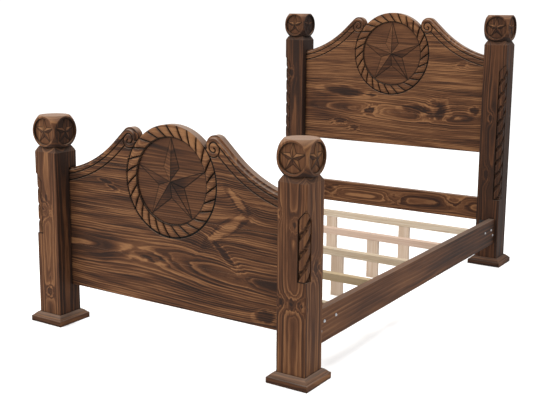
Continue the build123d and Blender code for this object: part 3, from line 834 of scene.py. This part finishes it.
def board_carving(end):
    """The star, the rope ring and the lines round them, on a board's carved face."""

    def marks(wire, here, facing, light):
        apart = parts_of(wire, here)
        across = apart["X"]
        up = wire.math("SUBTRACT", apart["Z"], medallion_height[end])
        inputs = {"Across": across, "Up": up, "Reach": ring_inner}
        star = use_group(wire, carved_star, inputs)
        radius = star["Radius"]
        front = wire.spread(facing["Y"], -0.25, -0.5)
        in_disc = wire.spread(radius, ring_inner, ring_inner - crisp)
        in_ring = wire.spread(radius, ring_outer + 3 * crisp, ring_outer + 2 * crisp)
        in_ring = wire.math("SUBTRACT", in_ring, in_disc)
        star_line, star_tone = star_marks(wire, star, in_disc, facing, end)
        ring_line, ring_tone, swell = ring_marks(wire, across, up, radius, in_ring, end)
        calm = wire.total(wire.product(in_disc, disc_calm), wire.product(in_ring, ring_calm))
        to_middle = wire.product(wire.math("SUBTRACT", middle_light, light), calm)
        field_tone = wire.product(in_disc, field_dark)
        change = wire.total(to_middle, star_tone, ring_tone, field_tone)
        light = wire.total(light, wire.product(change, front))
        line = wire.largest(star_line, ring_line)
        return light, wire.product(line, front), wire.product(swell, front)

    return marks


print("medallion, mm across:", round(2000 * ring_outer))

# %% [markdown]
# ### The caps' stars
#
# All four sides of a cap carry the same star, so one recipe can serve them all: whichever of X
# and Y is nearer the cap's middle runs across the disc. Round the discs the block is almost a
# ball, pale above, from bleached wood and a painted highlight, and dark below from painted shade.
# The star's facets get painted light where they face up. The sides that look at the board took
# more stain and lie in its shade, which is painted on them.

# %% Marks on the caps
cap_disc = 0.064
cap_line_fade = (0.0026, 0.0010)
cap_line_dark = 0.7
cap_rim_fade = (0.0040, 0.0018)
cap_rim_dark = 0.6
cap_facet_shade = 0.9
cap_top_bleach_and_highlight = 0.28
cap_under_shade = -0.50
cap_inner_shade = 0.46


def side_shade(wire, facing, side_sign, inner, outer):
    """Darkens the faces of a post or cap that look at the board, with more stain and painted shade, or
    away from it, with painted shade.
    """
    inward = wire.product(facing["X"], -side_sign)
    to_board = wire.spread(inward, 0.5, 0.9, 0.0, -inner)
    return wire.total(to_board, wire.spread(inward, -0.5, -0.9, 0.0, -outer))


def cap_carving(centre, side_sign):
    """A star and a dark rim on each of a cap's four discs, with painted light and shade round them."""

    def marks(wire, here, facing, light):
        apart = parts_of(wire, wire.vector("SUBTRACT", here, centre))
        side_on = wire.math("ABSOLUTE", apart["X"])
        end_on = wire.math("ABSOLUTE", apart["Y"])
        across = wire.math("MINIMUM", side_on, end_on)
        inputs = {"Across": across, "Up": apart["Z"], "Reach": cap_disc}
        star = use_group(wire, carved_star, inputs)
        in_disc = wire.spread(star["Radius"], cap_disc, cap_disc - crisp)
        star_line = wire.spread(star["Line"], *cap_line_fade, 0.0, cap_line_dark)
        off_rim = wire.gap(star["Radius"], cap_disc - 2 * crisp)
        rim_line = wire.spread(off_rim, *cap_rim_fade, 0.0, cap_rim_dark)
        line = wire.largest(wire.product(star_line, in_disc), rim_line)
        below_top = wire.spread(facing["Z"], 0.75, 0.6)
        on_star = wire.spread(star["Raised"], -crisp, crisp)
        # painted light on the star's facets that face up
        star_tone = wire.product(facing["Z"], cap_facet_shade, on_star, in_disc)
        # outside the discs: a painted highlight on bleached wood above, painted shade below
        ball_light_and_shade = wire.total(
            wire.spread(facing["Z"], 0.20, 0.65, 0.0, cap_top_bleach_and_highlight),
            wire.spread(facing["Z"], -0.30, -0.60, 0.0, cap_under_shade),
        )
        ball_light_and_shade = wire.product(ball_light_and_shade, wire.math("SUBTRACT", 1.0, in_disc))
        shade = side_shade(wire, facing, side_sign, cap_inner_shade, 0.0)
        light = wire.total(light, star_tone, shade, ball_light_and_shade)
        return light, wire.product(line, below_top), 0.0

    return marks


print("cap discs, mm across:", round(2000 * cap_disc))

# %% [markdown]
# ### The corner ropes
#
# A rope climbs one corner of each post in a panel that is cut into both faces. The panel's upper
# end slopes down from the corner. Unrolled, the two faces make one strip, on which the cuts
# between the strands are straight slanting lines, so the distance to the nearest one is easy to
# find. A dark crease runs round the rope, deepest on the front. The crease and the cuts are
# painted dark, for the stain in them and the shade inside them. Each post's sides also get
# painted shade.

# %% Marks on the corner ropes
rope_panel = 0.040               # the panel's width on each face
rope_shoulder = 0.044            # how far its upper end falls from the corner
rope_climb = rope_shoulder / rope_panel
rope_pitch = 0.080               # height of one strand
rope_span = {"foot": (0.448, 0.752), "head": (0.409, 1.232)}
crease_middle = 0.0012
crease_fade = (0.0040, 0.0016)
crease_dark = {"foot": 0.80, "head": 0.50}
side_crease_dark = 0.2
cut_widening = 0.11              # the cuts open towards the crease
cut_fade = (0.0045, 0.0010)
cut_dark = 0.55
post_inner_shade = 0.34
# painted shade on the outer faces of the head posts
post_outer_shade = {"foot": 0.0, "head": 0.15}


def depth_in_panel(wire, inward, height, end):
    """How far a point lies inside the rope's panel, from its nearest side."""
    bottom, top = rope_span[end]
    slope = wire.product(inward, rope_climb)
    below_top = wire.math("SUBTRACT", wire.math("SUBTRACT", top, slope), height)
    above_bottom = wire.math("SUBTRACT", height, bottom)
    to_crease = wire.math("SUBTRACT", rope_panel, inward)
    return wire.math("MINIMUM", to_crease, wire.math("MINIMUM", below_top, above_bottom))


def strand_cuts(wire, inward, frontward, height, top):
    """The dark cuts between a corner rope's strands, painted for the stain and the shade in them."""
    turned = wire.total(wire.math("SUBTRACT", height, top), wire.product(frontward, rope_climb))
    level = wire.math("DIVIDE", turned, rope_pitch)
    off_cut = wire.gap(level, wire.math("ROUND", level))
    off_cut = wire.product(off_cut, rope_pitch / math.hypot(1.0, rope_climb))
    off_cut = wire.math("SUBTRACT", off_cut, wire.product(inward, cut_widening))
    return wire.spread(off_cut, *cut_fade, 0.0, cut_dark)


def post_carving(end, low, high, side_sign):
    """The painted crease and cuts of the corner rope, and painted shade on the post's sides."""
    corner_x = high[0] if side_sign > 0 else low[0]

    def marks(wire, here, facing, light):
        apart = parts_of(wire, here)
        along_front = wire.product(wire.math("SUBTRACT", corner_x, apart["X"]), side_sign)
        along_side = wire.math("SUBTRACT", apart["Y"], low[1])
        inward = wire.math("MAXIMUM", along_front, along_side)
        frontward = wire.math("SUBTRACT", along_front, along_side)
        depth = depth_in_panel(wire, inward, apart["Z"], end)
        # the crease is painted darkest on the front: the stain and painted shade in it
        darkness = wire.spread(frontward, 0.0, 0.01, side_crease_dark, crease_dark[end])
        crease = wire.spread(wire.gap(depth, crease_middle), *crease_fade)
        cuts = strand_cuts(wire, inward, frontward, apart["Z"], rope_span[end][1])
        cuts = wire.product(cuts, wire.spread(depth, 0.0, crisp))
        shade = side_shade(wire, facing, side_sign, post_inner_shade, post_outer_shade[end])
        line = wire.largest(wire.product(crease, darkness), cuts)
        return wire.total(light, shade), line, 0.0

    return marks


print("corner rope's strands climb, degrees:", round(math.degrees(math.atan(rope_climb))))

# %% [markdown]
# ## The boards
#
# Each board is glued up from four planks. The two lower planks were sawn from the middle of one
# trunk, so long arches run along their joint. The upper ones lie further out and show close,
# straight lines. The knots are listed one by one, as the sawyer turned the planks.

# %% Knots in the boards
board_face = {"foot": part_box("footboard_plank_1")[0][1], "head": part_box("headboard_plank_1")[0][1]}
knot_thickness = 0.08            # how far a knot reaches into a board


def face_knot(end, x, z, length, width, slant=0, push=2.5, darkness=0.9):
    """A knot on a board's face: length runs along the grain before it is slanted."""
    reach = (length / 2, knot_thickness, width / 2)
    return (x, board_face[end], z), reach, (0.0, math.radians(-slant), 0.0), push, darkness


board_knots = {
    "foot": [
        face_knot("foot", -0.388, 0.732, 0.09, 0.020, slant=-8, push=0.8),
        face_knot("foot", -0.344, 0.706, 0.08, 0.018, slant=-14, push=0.8),
        face_knot("foot", 0.372, 0.724, 0.15, 0.040, slant=-42, push=1.5, darkness=-0.8),
        face_knot("foot", 0.315, 0.596, 0.26, 0.055, slant=36, push=2.0, darkness=-0.8),
        face_knot("foot", 0.300, 0.480, 0.18, 0.035, slant=-40, push=1.5, darkness=0.8),
        face_knot("foot", -0.120, 0.402, 0.20, 0.045, push=1.5),
        face_knot("foot", 0.520, 0.236, 0.12, 0.060, slant=10, push=1.0),
    ],
    "head": [
        face_knot("head", 0.325, 0.925, 0.17, 0.125, slant=20),
        face_knot("head", 0.297, 0.932, 0.11, 0.080, slant=20, push=0.5, darkness=-0.8),
        face_knot("head", 0.190, 0.925, 0.22, 0.060, push=0.5),
        face_knot("head", -0.138, 0.899, 0.10, 0.045, slant=12, push=2.0),
        face_knot("head", -0.133, 0.998, 0.09, 0.022, push=1.0),
        face_knot("head", -0.359, 0.818, 0.10, 0.040, darkness=0.6),
        face_knot("head", -0.250, 0.779, 0.07, 0.035, push=2.0, darkness=0.6),
        face_knot("head", -0.330, 1.014, 0.34, 0.070, slant=-4, push=0.5),
        face_knot("head", 0.481, 1.215, 0.07, 0.035, slant=15, push=1.5, darkness=0.5),
        face_knot("head", 0.575, 0.937, 0.07, 0.055, push=1.0),
    ],
}
for end, knots in board_knots.items():
    print(end, "board's knots:", len(knots))

# %% [markdown]
# ### Staining the planks
#
# A plank takes only the knots near it, because every knot costs nodes. Its place in the trunk
# is chosen so that the trunk's middle lies about a hand's width ahead of its face. The headboard
# took less stain than the footboard.

# %% Planks
plank_width = 0.210
board_lift = {"foot": -0.01, "head": 0.13}
knot_margin = 0.10
head_shift = 5.3                 # the headboard's planks come from further up the tree
# the trunk's middle: above the board's lower edge, ahead of its face, and along the trunk
lower_pith = {"rise": plank_width, "ahead": 0.075, "shift": 4.0}
upper_pith = {"rise": 3.6 * plank_width, "ahead": 0.110, "shift": 9.0}


def near_plank(knots, low, high):
    """The knots whose figure reaches a plank."""
    bottom, top = low[2] - knot_margin, high[2] + knot_margin
    return [item for item in knots if bottom < item[0][2] < top]


def stain_plank(end, number):
    """One plank, with the part of the board's carving that it carries."""
    node = f"{end}board_plank_{number}"
    low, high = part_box(node)
    lower = number < 3
    pith = lower_pith if lower else upper_pith
    shift = pith["shift"] + (head_shift if end == "head" else 0.0)
    pith_height = medallion_height[end] - below_medallion + pith["rise"]
    material = stained_pine(
        node,
        along="x",
        place=(shift, pith["ahead"] - board_face[end], -pith_height),
        ring=0.0085,
        wander=0.11 if lower else 0.05,
        knots=near_plank(board_knots[end], low, high),
        lift=board_lift[end],
        contrast=1.15,
        bleach_and_sheen=1.0,
        carving=board_carving(end) if number > 1 else None,
    )
    dress(node, material)
    return node


planks = [stain_plank(end, number) for end in ("foot", "head") for number in range(1, 5)]
print("planks stained:", len(planks))

# %% [markdown]
# ## Posts and caps
#
# A post is sawn with the trunk's middle inside it, so all four faces show upright lines. The
# caps stand on them as blocks of their own. The head posts took more stain than the foot posts,
# and their grain shows less.

# %% Knots in the posts
front_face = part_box("foot_post_right")[0][1]
right_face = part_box("foot_post_right")[1][0]
head_front_face = 1.067


def post_knot(x, y, z, height, width, push=2.5, darkness=0.5):
    """A knot on a post's face: height runs along the grain."""
    return (x, y, z), (width / 2, width / 2, height / 2), (0.0, 0.0, 0.0), push, darkness


post_knots = {
    "foot_right": [
        post_knot(0.644, front_face, 0.722, 0.040, 0.016, push=2.0),
        post_knot(0.712, front_face, 0.682, 0.050, 0.026),
        post_knot(0.655, front_face, 0.352, 0.045, 0.030),
        post_knot(0.703, front_face, 0.348, 0.050, 0.032),
        post_knot(0.745, front_face, 0.350, 0.045, 0.030),
        post_knot(right_face, -1.120, 0.500, 0.060, 0.050),
    ],
    "foot_left": [
        post_knot(-0.712, front_face, 0.567, 0.055, 0.045, push=3.0, darkness=0.3),
        post_knot(-0.702, front_face, 0.625, 0.060, 0.018, push=0.5),
        post_knot(-0.697, front_face, 0.158, 0.045, 0.034, push=3.0, darkness=0.4),
        post_knot(-0.690, front_face, 0.215, 0.060, 0.018, push=0.5),
    ],
    "head_right": [
        post_knot(0.680, head_front_face, 0.560, 0.070, 0.030),
        post_knot(0.690, head_front_face, 0.905, 0.050, 0.024, darkness=0.9),
    ],
    "head_left": [post_knot(-0.720, head_front_face, 1.120, 0.060, 0.030, darkness=0.9)],
}
for post, knots in post_knots.items():
    print(post, "post's knots:", len(knots))

# %% Posts and caps
post_lift = {"foot_left": 0.01, "foot_right": 0.08, "head_left": -0.17, "head_right": -0.23}
cap_lift = {"foot_left": 0.22, "foot_right": 0.15, "head_left": 0.0, "head_right": -0.13}
post_contrast = {"foot": 0.9, "head": 0.65}
post_shift = {"left": 3.1, "right": 9.4}
pith_aside = (0.008, 0.012)      # the trunk's middle lies this far from the post's, on X and Y


def middle_of(low, high):
    """The middle of a box."""
    return [(a + b) / 2 for a, b in zip(low, high)]


def stain_post(end, side, side_sign):
    """A post and its cap, with upright grain."""
    node = f"{end}_post_{side}"
    low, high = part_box(node)
    centre = middle_of(low, high)
    # a quarter turn about Y lays the trunk's X along the post and its Z along -X
    place = (post_shift[side], pith_aside[1] - centre[1], centre[0] + pith_aside[0])
    material = stained_pine(
        node,
        along="z",
        place=place,
        ring=0.0095,
        wander=0.035,
        knots=post_knots[f"{end}_{side}"],
        lift=post_lift[f"{end}_{side}"],
        contrast=post_contrast[end],
        cut_stain_and_shade=0.6,
        carving=post_carving(end, low, high, side_sign),
    )
    dress(node, material)
    cap = f"{end}_cap_{side}"
    material = stained_pine(
        cap,
        along="z",
        place=place,
        ring=0.012,
        lift=cap_lift[f"{end}_{side}"],
        contrast=0.5,
        cut_stain_and_shade=0.5,
        carving=cap_carving(middle_of(*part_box(cap)), side_sign),
    )
    dress(cap, material)
    return [node, cap]


posts_and_caps = []
for end in ("foot", "head"):
    for side, side_sign in (("left", -1), ("right", 1)):
        posts_and_caps += stain_post(end, side, side_sign)
print("posts and caps stained:", len(posts_and_caps))

# %% [markdown]
# ## Plinths
#
# The strips round a post's foot are cut from one moulding, whose grain runs along each strip.
# Each strip's place on the floor also shifts it in the trunk, so strips that meet at a corner
# show different lines.

# %% Plinths
plinth_lift = {"foot": -0.05, "head": -0.26}
# how far the plinths' upward faces are bleached and get a painted top sheen
plinth_bleach_and_sheen = {"foot": 0.75, "head": 0.3}
plinth_grain = {"right": "y", "head": "x", "left": "y", "foot": "x"}


def stain_strip(end, side, facing):
    """One strip of the four round a post's foot."""
    strip = f"{end}_plinth_{side}_{facing}_strip"
    low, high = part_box(strip)
    material = stained_pine(
        strip,
        along=plinth_grain[facing],
        place=(2.0 + low[0], -low[1] + 0.03, 0.03),
        ring=0.012,
        lift=plinth_lift[end],
        bleach_and_sheen=plinth_bleach_and_sheen[end],
    )
    dress(strip, material)
    return strip


strips = []
for end in ("foot", "head"):
    for side in ("left", "right"):
        strips += [stain_strip(end, side, facing) for facing in plinth_grain]
print("plinth strips stained:", len(strips))

# %% [markdown]
# ## Rails
#
# The side rails are plain, quiet boards. They get darker towards the head, which a slow change
# along Y gives. The lower head rail is a lighter board with three small knots.

# %% Rails
rail_light = (0.08, -0.24)       # added near the foot, and towards the head


def rail_darkening(wire, here, facing, light):
    """A side rail gets darker towards the head."""
    along = parts_of(wire, here)["Y"]
    return wire.total(light, wire.spread(along, -0.6, 0.7, *rail_light)), 0.0, 0.0


def stain_side_rail(side):
    """A side rail with its grain along the bed."""
    node = f"side_rail_{side}"
    low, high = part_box(node)
    place = (1.3, low[0] + 0.20, -low[2] + 0.10)
    calm = {"wander": 0.03, "contrast": 0.55, "bleach_and_sheen": 0.4}
    dress(node, stained_pine(node, "y", place, ring=0.016, carving=rail_darkening, **calm))


for side in ("left", "right"):
    stain_side_rail(side)
print("side rails stained:", 2)

# %% Lower head rail
low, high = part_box("lower_head_rail")


def rail_knot(x, z, length, width, push, darkness):
    """A knot on the front of the lower head rail."""
    return (x, low[1], z), (length / 2, 0.05, width / 2), (0.0, 0.0, 0.0), push, darkness


rail_knots = [
    rail_knot(0.050, 0.334, 0.090, 0.044, push=2.5, darkness=0.3),
    rail_knot(0.468, 0.357, 0.100, 0.056, push=3.0, darkness=0.35),
    rail_knot(-0.430, 0.340, 0.100, 0.050, push=2.5, darkness=0.4),
]
place = (6.1, -low[1] + 0.05, -(low[2] + high[2]) / 2)
look = {"ring": 0.010, "wander": 0.09, "knots": rail_knots, "lift": 0.17}
dress("lower_head_rail", stained_pine("lower_head_rail", "x", place, **look))
print("lower head rail's knots:", len(rail_knots))

# %% [markdown]
# ## Bare pine
#
# The slats, their legs and the ledgers stay bare, because nobody sees them under the mattress.
# Bare pine is a pale cream with faint honey rings. It uses the same trunk as the stained
# pieces, with fewer and softer steps between its tones. The slats aren't quite the same colour:
# some are straw yellow and one has a rosy blush.

# %% Bare pine
cream = (0.425, 0.353, 0.270)
honey = (0.340, 0.262, 0.178)
dark_honey = (0.245, 0.175, 0.110)
blush = (0.392, 0.257, 0.198)
straw = (0.290, 0.205, 0.095)
bare_stops = [(0.0, dark_honey), (0.25, honey), (0.75, cream)]
bare_lift = 0.12
sawn_edge = 0.002                # the edges are rounded over this radius
bare_relief = 0.00015


def bare_pine(name, along, place, tint=blush, strength=0.0):
    """Unstained pine, tinted towards straw or blush."""
    material, tree, shader = node_material(name)
    wire = Wiring(tree)
    here, trunk_point = trunk_place(wire, along, place)
    light, late, fibre = wood_light(wire, here, trunk_point, ring=0.008, wander=0.03, knots=())
    colour = wire.ramp(wire.total(light, bare_lift), bare_stops)
    colour = wire.mix(strength, colour, (*tint, 1))
    tree.links.new(colour, shader.inputs["Base Color"])
    rounded = wire.add("ShaderNodeBevel", {"Radius": sawn_edge}, samples=4).outputs["Normal"]
    felt = wire.product(wire.total(late, fibre), bare_relief)
    set_relief(wire, shader, felt, rounded)
    shader.inputs["Roughness"].default_value = 0.62
    shader.inputs["Specular IOR Level"].default_value = 0.3
    return material


print("tones of bare pine:", len(bare_stops))

# %% Slats, legs and ledgers
slat_tints = {
    "slat_1": (straw, 0.3),
    "slat_2": (straw, 0.7),
    "slat_3": (straw, 0.15),
    "slat_4": (blush, 0.6),
    "slat_5": (blush, 0.0),
}
legs = [name for name in nodes if name.startswith("slat_leg_")]
for number, (node, tint) in enumerate(slat_tints.items(), start=1):
    low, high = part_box(node)
    place = (number * 2.3, -low[1] + 0.02 * number, -low[2] + 0.05)
    dress(node, bare_pine(node, "x", place, *tint))
for leg in legs:
    low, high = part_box(leg)
    place = (low[1] * 3.7, -low[1] + 0.04, low[0] + 0.02)
    dress(leg, bare_pine(leg, "z", place, blush, 0.3))
for side in ("left", "right"):
    node = f"slat_ledger_{side}"
    low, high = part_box(node)
    dress(node, bare_pine(node, "y", (4.4, low[0] + 0.06, -low[2] + 0.03)))
dress("cap_dowels", bare_pine("cap_dowels", "z", (0.0, 1.2, 0.7)))
print("slats, legs and ledgers left bare:", len(slat_tints), len(legs), 2)

# %% [markdown]
# ## Steel
#
# The bolts and screws are zinc plated, which is a dull grey with a faint bluish bloom. The
# brackets are blackened steel. One recipe serves both: a fine noise changes the metal's tone and
# how rough it is.

# %% Steel
bloom_scale = 180.0
zinc_tones = ((0.20, 0.20, 0.21), (0.38, 0.38, 0.38))
blackened_tones = ((0.020, 0.020, 0.022), (0.050, 0.048, 0.046))
rough_range = 0.08


def plated_steel(name, low_tone, high_tone, rough):
    """Metal whose tone and roughness follow a fine bloom."""
    material, tree, shader = node_material(name)
    wire = Wiring(tree)
    here = wire.add("ShaderNodeTexCoord").outputs["Object"]
    bloom = wire.noise(here, bloom_scale, 3.0).outputs["Fac"]
    colour = wire.ramp(bloom, [(0.3, low_tone), (0.7, high_tone)])
    tree.links.new(colour, shader.inputs["Base Color"])
    roughness = wire.spread(bloom, 0.2, 0.8, rough - rough_range, rough + rough_range)
    tree.links.new(roughness, shader.inputs["Roughness"])
    shader.inputs["Metallic"].default_value = 1.0
    return material


zinc = plated_steel("zinc_plate", *zinc_tones, rough=0.42)
blackened = plated_steel("blackened_steel", *blackened_tones, rough=0.48)
for node in ("rail_bolts", "bracket_lag_screws", "wood_screws"):
    dress(node, zinc)
for end in ("foot", "head"):
    for side in ("left", "right"):
        dress(f"rail_bracket_{end}_{side}", blackened)
print("steel materials:", zinc.name, "and", blackened.name)
